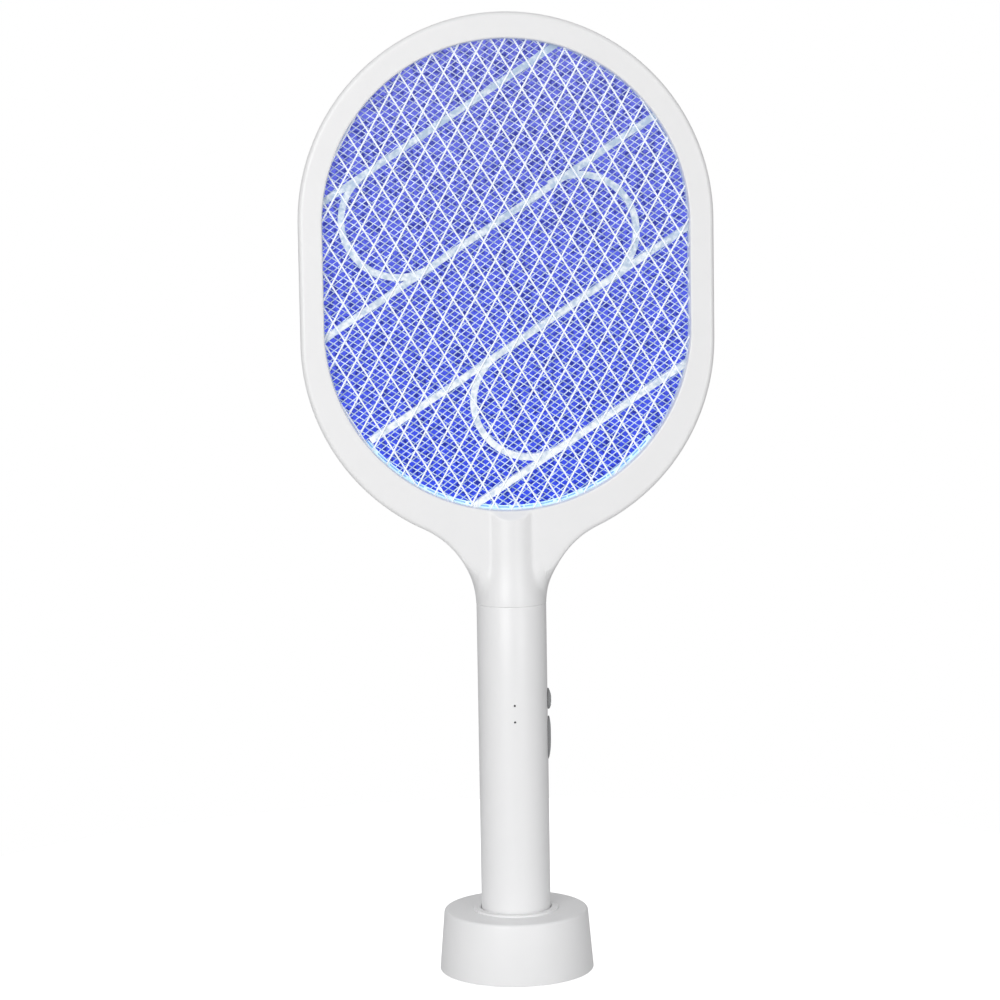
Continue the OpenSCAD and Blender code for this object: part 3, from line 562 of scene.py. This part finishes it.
def make_strip():
    """The edge of the lamp's window along the lower rim, with the lit marks on it."""
    band = lower_arc(APERTURE_R - STRIP_BAND[1], APERTURE_R - STRIP_BAND[0], -STRIP_SPAN, STRIP_SPAN,
                     STRIP_Y, STRIP_Y + 1)
    dashes = []
    step = 2 * STRIP_SPAN / STRIP_DASHES
    for i in range(STRIP_DASHES):
        start = -STRIP_SPAN + step * (i + 0.1 * (i % 3))
        length = step * (0.55 + 0.15 * (i * 2 % 3))
        dashes.append(lower_arc(APERTURE_R - STRIP_DASH[1], APERTURE_R - STRIP_DASH[0], start,
                                start + length, STRIP_Y - 0.15, STRIP_Y - 0.02))
    return (piece("lamp_window", *band, "racket", "clear_rib"),
            piece("lamp_marks", *joined(dashes), "racket", "clear_rib"))


# ---- Handle ----

KEY_W = 3.8
KEY_DEPTH_R = 16.5
KEY_TOP = 25.4
PINHOLES = (135, 143.7)
PINHOLE_R = 0.6
NECK_SCREW_Z = SEAM_Z - 10.6
NECK_SCREW_Y = 16.8
SEAM_EDGE = 0.35
LOW_EDGE = 0.2
FIRE_SLOT_R = 4.3
FIRE_SLOT_INSET = 5
MODE_SLOT_HALF = (2, 3.4)
SLOT_X = (5, 22)
OUTSIDE = 20  # farther out than the handle's surface


def make_handle():
    """The handle's tube with its pinholes, the slots of the controls, the key and the screw recess."""
    profile = [(HANDLE_BORE_R, TUBE_Z), (HANDLE_LOW_R - LOW_EDGE, TUBE_Z), (HANDLE_LOW_R, TUBE_Z + LOW_EDGE)]
    for t in (0.25, 0.5, 0.75):
        profile.append((HANDLE_LOW_R + (HANDLE_R - HANDLE_LOW_R) * t, TUBE_Z + (SEAM_Z - TUBE_Z) * t))
    profile += corner(HANDLE_R - SEAM_EDGE, SEAM_Z - SEAM_EDGE, SEAM_EDGE, 0, 90, 4)
    profile += [(HANDLE_BORE_R, SEAM_Z)]
    tube_piece = piece("handle_shell", *lathe(profile, 192), "racket", "white_shell", ["handle_tube"])
    fire_z = (FIRE_LOW[2] + FIRE_HIGH[2]) / 2
    mode_z = (MODE_LOW[2] + MODE_HIGH[2]) / 2
    flange_half = (FIRE_HIGH[2] - FIRE_LOW[2]) / 2
    slot_half = flange_half - FIRE_SLOT_INSET
    fire_slot = [(y, z + fire_z) for y, z in stadium(FIRE_SLOT_R, -slot_half, slot_half)]
    half_w, half_h = MODE_SLOT_HALF
    mode_slot = rectangle((-half_w, mode_z - half_h), (half_w, mode_z + half_h))
    key = prism(rectangle((-KEY_W / 2, KEY_DEPTH_R), (KEY_W / 2, OUTSIDE)), TUBE_Z - 1, KEY_TOP, "z")
    solids = [prism(circle(PINHOLE_R, 0, z, 20), -OUTSIDE, 0, "y") for z in PINHOLES]
    solids += [prism(fire_slot, *SLOT_X, "x"), prism(mode_slot, *SLOT_X, "x"), key]
    solids.append(prism(circle(SCREW_RECESS_R, 0, NECK_SCREW_Z), NECK_SCREW_Y, OUTSIDE, "y"))
    return smooth(cut(tube_piece, solids), 30)


# ---- Base ----

BASE_TAPER = 2.7
BASE_EDGE = 1.8
BASE_FOOT_EDGE = 0.5
BASE_WALL = 2.2
BASE_HOLE_R = 20.4
USB_GAP = 0.5
CUP_R = 20.2
SOCKET_R = 18.7
CUP_FLOOR = 2
CUP_EDGE = 0.55
RIB_HALF_W = 1.5
RIB_R = 16.95
RIB_TOP = 25
CONTACT_GAP = 0.1


def make_base():
    """The base's cover: a tapered wall with a rounded upper edge and an opening for the socket."""
    low_r, top_r = SHELL_HIGH[0], SHELL_HIGH[0] - BASE_TAPER
    low, top = SHELL_LOW[2], SHELL_HIGH[2]
    slope = (low_r - top_r) / (top - low)
    side_angle = slope * 57  # in degrees, near enough for a small angle
    side_r = low_r - slope * (top - BASE_EDGE - low)
    profile = [(low_r - BASE_WALL, low)]
    profile += corner(low_r - BASE_FOOT_EDGE, low + BASE_FOOT_EDGE, BASE_FOOT_EDGE, -90, 0, 4)
    profile += corner(side_r - BASE_EDGE, top - BASE_EDGE, BASE_EDGE, side_angle, 90, 12)
    inner_top = top - BASE_WALL
    profile += [(BASE_HOLE_R, top), (BASE_HOLE_R, inner_top), (top_r - BASE_WALL - 0.6, inner_top)]
    shell = piece("base_cover", *lathe(profile, 224), "base", "white_shell", ["base_shell"])
    usb_low, usb_high = box_mm("usb_socket")
    usb_z = (usb_low[2] + usb_high[2]) / 2
    half_h = (usb_high[2] - usb_low[2]) / 2
    half_w = usb_high[0] - half_h
    opening = [(x, z + usb_z) for z, x in stadium(half_h + USB_GAP, -half_w, half_w)]
    cut(shell, [prism(opening, usb_low[1] - 1, low_r + 3, "y")])
    return smooth(shell, 30)


def make_cup():
    """The socket that the handle stands in, with its collar, its rib and the holes of the contacts."""
    collar_r = CUP_HIGH[0]
    floor, floor_top, ledge, top = CUP_LOW[2], CUP_LOW[2] + CUP_FLOOR, SHELL_HIGH[2], CUP_HIGH[2]
    profile = [(0, floor), (CUP_R, floor), (CUP_R, ledge), (collar_r, ledge)]
    profile += corner(collar_r - CUP_EDGE, top - CUP_EDGE, CUP_EDGE, 0, 90, 5)
    profile += corner(SOCKET_R + CUP_EDGE, top - CUP_EDGE, CUP_EDGE, 90, 180, 5)
    profile += [(SOCKET_R, floor_top), (0, floor_top)]
    body = lathe(profile, 192)
    rib_outline = rectangle((-RIB_HALF_W, RIB_R), (RIB_HALF_W, SOCKET_R + 0.5))
    rib = prism(rib_outline, floor + 0.5, RIB_TOP, "z")
    cup = piece("socket", *joined([body, rib]), "base", "white_shell", ["socket_cup"])
    barrel_low, barrel_high = box_mm("contact_barrels")
    hole = (barrel_high[1] - barrel_low[1]) / 2 + CONTACT_GAP
    x = barrel_high[0] - hole + CONTACT_GAP
    cut(cup, [prism(circle(hole, side * x, 0, 24), floor - 1, floor_top + 1, "z") for side in (-1, 1)])
    return smooth(cup, 30)


# ---- Materials ----


def add(tree, kind, **values):
    """A node with its inputs or settings set by name."""
    node = tree.nodes.new(kind)
    for key, value in values.items():
        if key in node.inputs:
            node.inputs[key].default_value = value
        else:
            setattr(node, key, value)
    return node


def new_material(name):
    """An empty material: itself, its nodes, its shader and the object's coordinates."""
    made = bpy.data.materials.new(name)
    made.use_nodes = True
    tree = made.node_tree
    shader = tree.nodes["Principled BSDF"]
    place = add(tree, "ShaderNodeTexCoord").outputs["Object"]
    return made, tree, shader, place


def noise(tree, place, scale, detail=2.0):
    """A noise value at each place."""
    node = add(tree, "ShaderNodeTexNoise", Scale=scale, Detail=detail)
    tree.links.new(place, node.inputs["Vector"])
    return node.outputs["Fac"]


def spread(tree, value, low, high):
    """Turns a noise value into a range."""
    node = add(tree, "ShaderNodeMapRange")
    node.inputs["From Min"].default_value = 0.3
    node.inputs["From Max"].default_value = 0.7
    node.inputs["To Min"].default_value = low
    node.inputs["To Max"].default_value = high
    tree.links.new(value, node.inputs["Value"])
    return node.outputs["Result"]


def two_colours(tree, factor, first, second):
    """A mix of two fixed colours."""
    node = tree.nodes.new("ShaderNodeMix")
    node.data_type = "RGBA"
    node.inputs[6].default_value = (*first, 1)
    node.inputs[7].default_value = (*second, 1)
    tree.links.new(factor, node.inputs[0])
    return node.outputs[2]


def blend(tree, factor, first, second):
    """The second colour over the first where the factor is 1. Both are outputs of nodes."""
    node = tree.nodes.new("ShaderNodeMix")
    node.data_type = "RGBA"
    node.clamp_factor = True
    tree.links.new(factor, node.inputs[0])
    tree.links.new(first, node.inputs[6])
    tree.links.new(second, node.inputs[7])
    return node.outputs[2]


def bump(tree, shader, height, strength, distance):
    """A fine relief on the shader's normal."""
    node = add(tree, "ShaderNodeBump", Strength=strength, Distance=distance)
    tree.links.new(height, node.inputs["Height"])
    tree.links.new(node.outputs["Normal"], shader.inputs["Normal"])


def tint(colour, factor):
    """A colour made lighter or darker."""
    return tuple(min(c * factor, 1.0) for c in colour)


def surface(name, colour, rough, metal=0.0, grain=2500, relief=0.1, mottle=0.03, rough_spread=0.05,
            glow=None, dark=None, patch=70):
    """A moulded or drawn surface: mottle in patches, uneven gloss and a fine relief.

    A dark colour replaces the mottle's darker tint, which on the live wires paints shade in spots, and glow
    gives lamp_light its values.
    """
    made, tree, shader, place = new_material(name)
    cloud = spread(tree, noise(tree, place, patch, 3.0), 0.0, 1.0)
    colours = two_colours(tree, cloud, dark or tint(colour, 1 - mottle), tint(colour, 1 + mottle))
    tree.links.new(colours, shader.inputs["Base Color"])
    gloss = spread(tree, noise(tree, place, 260), rough - rough_spread, rough + rough_spread)
    tree.links.new(gloss, shader.inputs["Roughness"])
    shader.inputs["Metallic"].default_value = metal
    bump(tree, shader, noise(tree, place, grain), relief, 0.00005)
    if glow:
        lamp_light(tree, shader, place, *glow)
    return made


def height_share(tree, place):
    """0 at the bottom of the opening and 1 at its top."""
    split = tree.nodes.new("ShaderNodeSeparateXYZ")
    tree.links.new(place, split.inputs[0])
    node = tree.nodes.new("ShaderNodeMapRange")
    node.inputs["From Min"].default_value = (APERTURE_LOW_Z - APERTURE_R) * MM
    node.inputs["From Max"].default_value = (APERTURE_HIGH_Z + APERTURE_R) * MM
    tree.links.new(split.outputs["Z"], node.inputs["Value"])
    return node.outputs["Result"]


def lamp_light(tree, shader, place, low_colour, high_colour, strength):
    """The lamp's light on a surface, strongest at the bottom of the opening."""
    colours = two_colours(tree, height_share(tree, place), low_colour, high_colour)
    tree.links.new(colours, shader.inputs["Emission Color"])
    shader.inputs["Emission Strength"].default_value = strength


def glow_material():
    """Even blue light behind the live grid, with the small shadows that the wires throw on it."""
    made, tree, shader, place = new_material("lamp_emitter_glow")
    share = height_share(tree, place)
    light = two_colours(tree, share, (0.045, 0.085, 0.86), (0.17, 0.19, 0.74))
    shadow = two_colours(tree, share, (0.022, 0.035, 0.36), (0.06, 0.07, 0.34))
    speck = spread(tree, noise(tree, place, 420, 2.0), -0.9, 1.3)
    colours = blend(tree, speck, light, shadow)
    tree.links.new(colours, shader.inputs["Emission Color"])
    shader.inputs["Emission Strength"].default_value = 1.0
    shader.inputs["Base Color"].default_value = (0.0, 0.0, 0.02, 1)
    shader.inputs["Roughness"].default_value = 0.9
    shader.inputs["Specular IOR Level"].default_value = 0.0
    return made


def rib_material():
    """Natural plastic with painted light: near white at the bottom where the lamp lights it, more of the
    blue light showing through towards the top of the opening, and a faint painted glow.
    """
    made, tree, shader, place = new_material("natural_rib_painted_light")
    patches = spread(tree, noise(tree, place, 380, 3.0), -0.5, 0.6)
    clear = add(tree, "ShaderNodeMath", operation="MULTIPLY_ADD", use_clamp=True)
    tree.links.new(height_share(tree, place), clear.inputs[0])
    clear.inputs[1].default_value = 0.95
    tree.links.new(patches, clear.inputs[2])
    # painted light: near white towards the bottom, blue grey towards the top, shifted in uneven patches
    colours = two_colours(tree, clear.outputs[0], (0.88, 0.92, 0.94), (0.42, 0.53, 0.68))
    tree.links.new(colours, shader.inputs["Base Color"])
    # painted glow: the ribs give off a little light in the same colours
    tree.links.new(colours, shader.inputs["Emission Color"])
    shader.inputs["Emission Strength"].default_value = 0.1
    gloss = spread(tree, noise(tree, place, 260), 0.25, 0.35)
    tree.links.new(gloss, shader.inputs["Roughness"])
    return made


def make_materials():
    """The materials by slot, and by piece for the two pieces of the lamp's strip."""
    white = (0.86, 0.86, 0.862)
    blue_light = (0.55, 0.72, 1.0)
    return {
        "white_shell": surface("white_shell_satin", white, 0.34, relief=0.05, mottle=0.006,
                               rough_spread=0.03),
        "base_underside": surface("underside_matte", (0.70, 0.70, 0.71), 0.55, relief=0.3),
        "clear_rib": rib_material(),
        "grid_white": surface("coated_wire", (0.94, 0.95, 0.96), 0.35, grain=1500,
                              glow=(blue_light, blue_light, 0.16)),
        # painted shade: the dark colour puts dark spots on the live wires, and the glow paints the lamp's
        # light on them
        "live_wire": surface("drawn_wire_painted_shade", (0.88, 0.94, 0.96), 0.3, dark=(0.22, 0.28, 0.42), patch=240,
                             grain=4000, glow=((0.55, 0.85, 1.0), (0.6, 0.65, 1.0), 0.22)),
        "lamp_white": surface("white_mask", (0.85, 0.85, 0.86), 0.4),
        "lamp_marks": surface("strip_light", (0.16, 0.36, 0.82), 0.3, dark=(0.4, 0.65, 0.9), patch=200,
                              glow=((0.1, 0.3, 0.9), (0.1, 0.3, 0.9), 0.15)),
        "lamp_window": surface("lit_rim", (0.8, 0.92, 0.95), 0.3, dark=(0.55, 0.8, 0.9), patch=200,
                               glow=((0.7, 1.0, 1.0), (0.7, 1.0, 1.0), 0.25)),
        "lamp_emitter": glow_material(),
        "steel": surface("zinc_steel", (0.58, 0.59, 0.60), 0.32, metal=1.0, grain=1800, relief=0.2),
        "lead_red": surface("red_sleeve", (0.55, 0.08, 0.07), 0.45),
        "lead_grey": surface("grey_sleeve", (0.60, 0.60, 0.61), 0.45),
        "black_plastic": surface("black_moulding", (0.04, 0.04, 0.045), 0.45, relief=0.3, mottle=0.1),
        "cell_wrap": surface("cell_sleeve", (0.06, 0.22, 0.55), 0.25, mottle=0.05),
        "board_green": surface("solder_mask", (0.03, 0.22, 0.10), 0.3, mottle=0.15),
        "ferrite": surface("sintered_ferrite", (0.05, 0.05, 0.055), 0.7, grain=1200, relief=0.5),
        "winding": surface("enamelled_copper", (0.60, 0.28, 0.10), 0.3, metal=0.9, grain=2500,
                           relief=0.5),
        "film_capacitor": surface("dipped_epoxy", (0.50, 0.17, 0.05), 0.3, mottle=0.08),
        "resistor_body": surface("lacquered_body", (0.58, 0.48, 0.32), 0.5, mottle=0.08),
        "indicator": surface("led_body", (0.80, 0.90, 0.80), 0.2),
        "smoked_clear": surface("smoked_pipe", (0.03, 0.03, 0.035), 0.15),
        "grey_control": surface("grey_moulding", (0.23, 0.235, 0.24), 0.45, grain=1500, relief=0.35,
                                mottle=0.05),
        "red_plastic": surface("red_moulding", (0.50, 0.06, 0.05), 0.4),
        "rubber_foot": surface("soft_rubber", (0.10, 0.10, 0.11), 0.8, grain=1800, relief=0.5,
                               mottle=0.1),
        "gold_contact": surface("gold_plate", (0.72, 0.55, 0.22), 0.25, metal=1.0, relief=0.15),
    }


def dress(pieces, materials):
    """Gives every CAD node and every piece the material of its own name, or else of its slot."""
    slots = {part["node"]: part["material_slot"] for part in frame["record"]["subparts"]}
    for name, obj in NODES.items():
        obj.data.materials.clear()
        obj.data.materials.append(materials[slots[name]])
    for obj in pieces:
        obj.data.materials.clear()
        obj.data.materials.append(materials.get(obj.name) or materials[obj["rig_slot"]])


def soften_nodes():
    """Smooth shading on the round CAD nodes that stay, and worn edges on the controls."""
    edges = {"mode_knob": 0.35, "fire_button": 0.45, "rubber_feet": 0.3, "head_screws": 0.12,
             "neck_screw": 0.12, "base_screws": 0.12, "end_cap": 0.2, "base_plate": 0.2}
    for name, obj in NODES.items():
        if obj.hide_render:
            continue
        obj.data.polygons.foreach_set("use_smooth", [True] * len(obj.data.polygons))
        weld = obj.modifiers.new("weld", "WELD")
        weld.merge_threshold = 0.000002
        if name in edges:
            bevel = obj.modifiers.new("bevel", "BEVEL")
            bevel.width = edges[name] * MM
            bevel.segments = 3
            bevel.limit_method = "ANGLE"
            bevel.angle_limit = math.radians(50)
            bevel.harden_normals = False
        split = obj.modifiers.new("split", "EDGE_SPLIT")
        split.split_angle = math.radians(34)


# ---- Studio ----

CAMERA_DISTANCE = 1.518
CAMERA_HEIGHT = 0.42
CAMERA_SIDE = math.radians(-3)
CAMERA_PITCH = math.radians(6.417)
CAMERA_YAW = math.radians(0.19)
CAMERA_ROLL = math.radians(-0.94)
CAMERA_LENS = 105.6


def make_camera():
    """The camera in front of the object, a little above its middle and turned slightly down."""
    data = bpy.data.cameras.new("camera")
    data.sensor_width = 36
    data.lens = CAMERA_LENS
    obj = bpy.data.objects.new("camera", data)
    bpy.context.scene.collection.objects.link(obj)
    ahead = CAMERA_DISTANCE * math.cos(CAMERA_SIDE)
    obj.location = (CAMERA_DISTANCE * math.sin(CAMERA_SIDE), -ahead, CAMERA_HEIGHT)
    turn = Matrix.Rotation(CAMERA_SIDE + CAMERA_YAW, 4, "Z")
    tilt = Matrix.Rotation(math.pi / 2 - CAMERA_PITCH, 4, "X")
    roll = Matrix.Rotation(CAMERA_ROLL, 4, "Z")
    obj.rotation_euler = (turn @ tilt @ roll).to_euler()
    bpy.context.scene.camera = obj


def area_light(name, place, target, size, power, shows=True):
    """A rectangular lamp. One that doesn't show is hidden from the camera and from reflections."""
    data = bpy.data.lights.new(name, "AREA")
    data.shape = "RECTANGLE"
    data.size, data.size_y = size
    data.energy = power
    obj = bpy.data.objects.new(name, data)
    bpy.context.scene.collection.objects.link(obj)
    obj.location = place
    obj.rotation_euler = (Vector(target) - Vector(place)).to_track_quat("-Z", "Y").to_euler()
    obj.visible_camera = obj.visible_glossy = shows


def make_world():
    """White behind the object for the camera, and soft grey light on the object."""
    world = bpy.data.worlds.new("studio")
    bpy.context.scene.world = world
    world.use_nodes = True
    tree = world.node_tree
    tree.nodes.clear()
    out = tree.nodes.new("ShaderNodeOutputWorld")
    seen = add(tree, "ShaderNodeBackground", Color=(1, 1, 1, 1), Strength=1.0)
    lit = add(tree, "ShaderNodeBackground", Strength=1.0)
    way = add(tree, "ShaderNodeTexCoord").outputs["Generated"]
    split = tree.nodes.new("ShaderNodeSeparateXYZ")
    tree.links.new(way, split.inputs[0])
    ramp = tree.nodes.new("ShaderNodeValToRGB")
    stops = ramp.color_ramp.elements
    stops[0].position, stops[0].color = 0.0, (0.3, 0.3, 0.3, 1)
    stops[1].position, stops[1].color = 1.0, (0.5, 0.5, 0.51, 1)
    tree.links.new(split.outputs["Z"], ramp.inputs[0])
    tree.links.new(ramp.outputs[0], lit.inputs["Color"])
    rays = tree.nodes.new("ShaderNodeLightPath")
    mix = tree.nodes.new("ShaderNodeMixShader")
    tree.links.new(rays.outputs["Is Camera Ray"], mix.inputs[0])
    tree.links.new(lit.outputs[0], mix.inputs[1])
    tree.links.new(seen.outputs[0], mix.inputs[2])
    tree.links.new(mix.outputs[0], out.inputs[0])


def make_floor():
    """A pale disc under the object."""
    disc = piece("floor", *lathe([(0, -0.6), (420, -0.6), (420, 0), (0, 0)], 96), None, None)
    made, tree, shader, place = new_material("floor_paper")
    cloud = spread(tree, noise(tree, place, 30), 0.0, 1.0)
    paper = two_colours(tree, cloud, (0.5, 0.5, 0.5), (0.52, 0.52, 0.52))
    tree.links.new(paper, shader.inputs["Base Color"])
    shader.inputs["Roughness"].default_value = 0.9
    shader.inputs["Emission Color"].default_value = (1, 1, 1, 1)
    rays = tree.nodes.new("ShaderNodeLightPath")
    seen = add(tree, "ShaderNodeMapRange")
    seen.inputs["To Min"].default_value = 0.15
    seen.inputs["To Max"].default_value = 0.9
    tree.links.new(rays.outputs["Is Camera Ray"], seen.inputs["Value"])
    tree.links.new(seen.outputs["Result"], shader.inputs["Emission Strength"])
    disc.data.materials.append(made)


def make_studio():
    """Camera, surroundings, floor and lamps."""
    bpy.context.scene.view_settings.view_transform = "Standard"
    make_camera()
    make_world()
    make_floor()
    middle = (0, 0, 0.27)
    area_light("key", (-0.62, -1.4, 0.6), middle, (0.8, 1.1), 12.8)
    area_light("fill", (0.7, -1.3, 0.45), middle, (0.6, 1.1), 4.6)
    area_light("back", (0, 1.5, 0.3), middle, (0.9, 0.9), 8.0, shows=False)


pieces = [*make_head(), *make_grids(), make_glow(), *make_strip(), make_handle(), make_base(),
          make_cup()]
materials = make_materials()
dress(pieces, materials)
soften_nodes()
make_studio()
